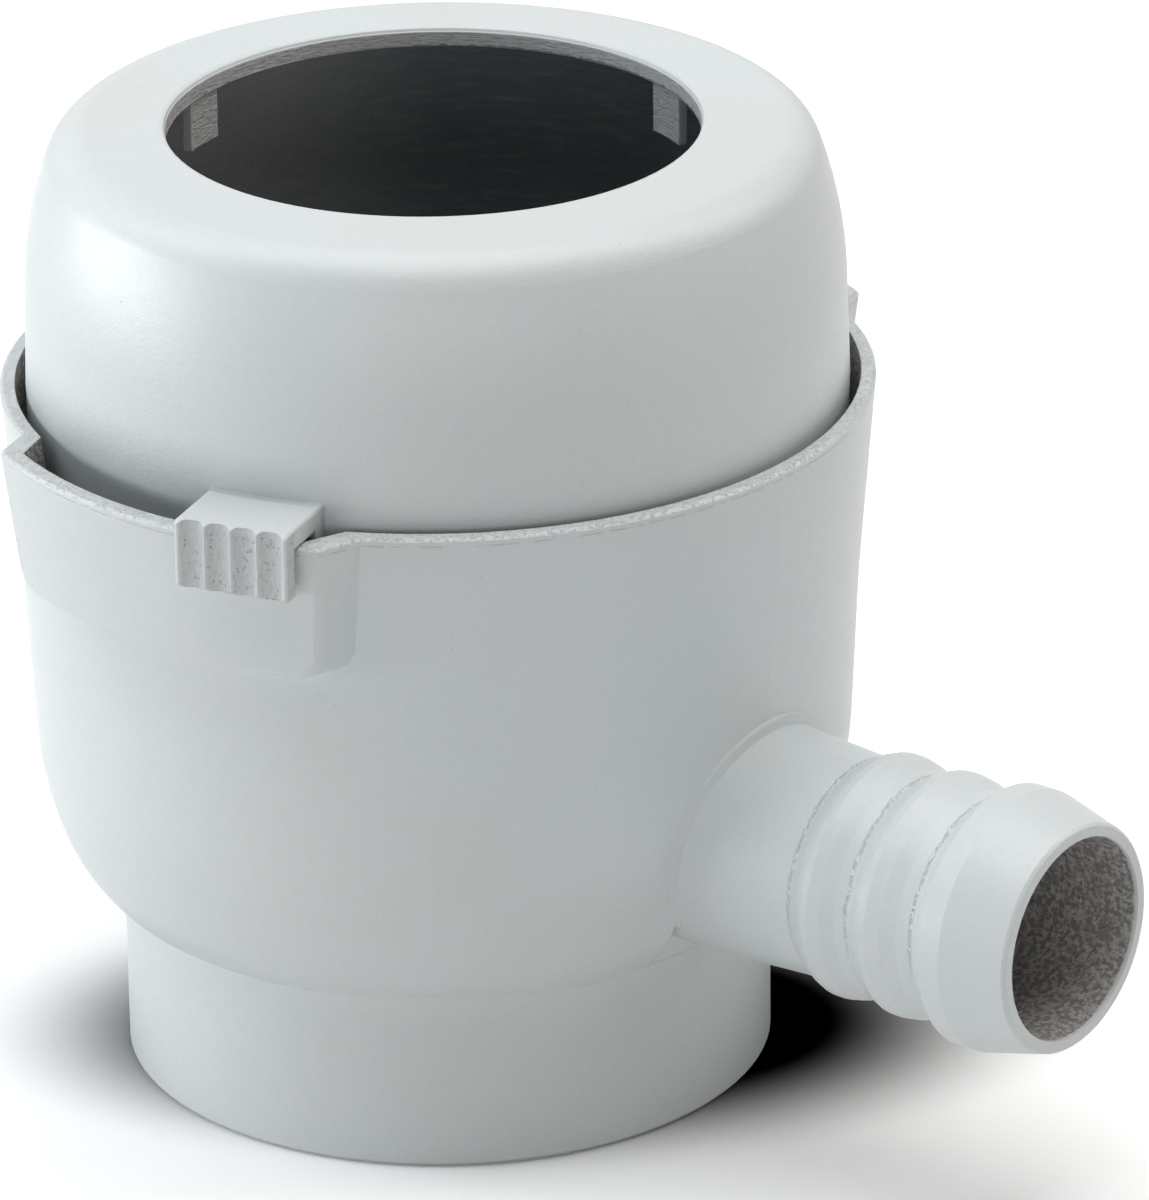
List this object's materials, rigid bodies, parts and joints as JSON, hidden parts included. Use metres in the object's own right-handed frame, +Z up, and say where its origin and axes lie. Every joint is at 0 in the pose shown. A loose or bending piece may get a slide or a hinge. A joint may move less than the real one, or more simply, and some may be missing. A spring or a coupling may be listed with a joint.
{
  "type": "rainwater diverter",
  "caption": "Round cast downpipe diverter: bowl-shaped housing with a spigot and a barbed side spout for a hose, and a domed turning cap with hooked finger grips.",
  "frame": {"origin": "centre of the spigot's lower end, on which the diverter stands", "axes": "+Z up along the downpipe, +X along the hose spout, +Y to the left of the spout seen from behind it"},
  "size_m": [0.19, 0.1518, 0.1534],
  "materials": {
    "housing_paint": "satin light grey paint on a casting",
    "cap_paint": "satin light grey paint on a casting"
  },
  "bodies": {
    "housing": {"housing": "housing_paint"},
    "cap": {"cap": "cap_paint"}
  },
  "joints": [
    {"name": "cap_turn", "type": "hinge", "parent": "housing", "child": "cap", "pos_m": [0, 0, 0.092], "axis": [0, 0, 1], "range_deg": [-32, 0]}
  ]
}
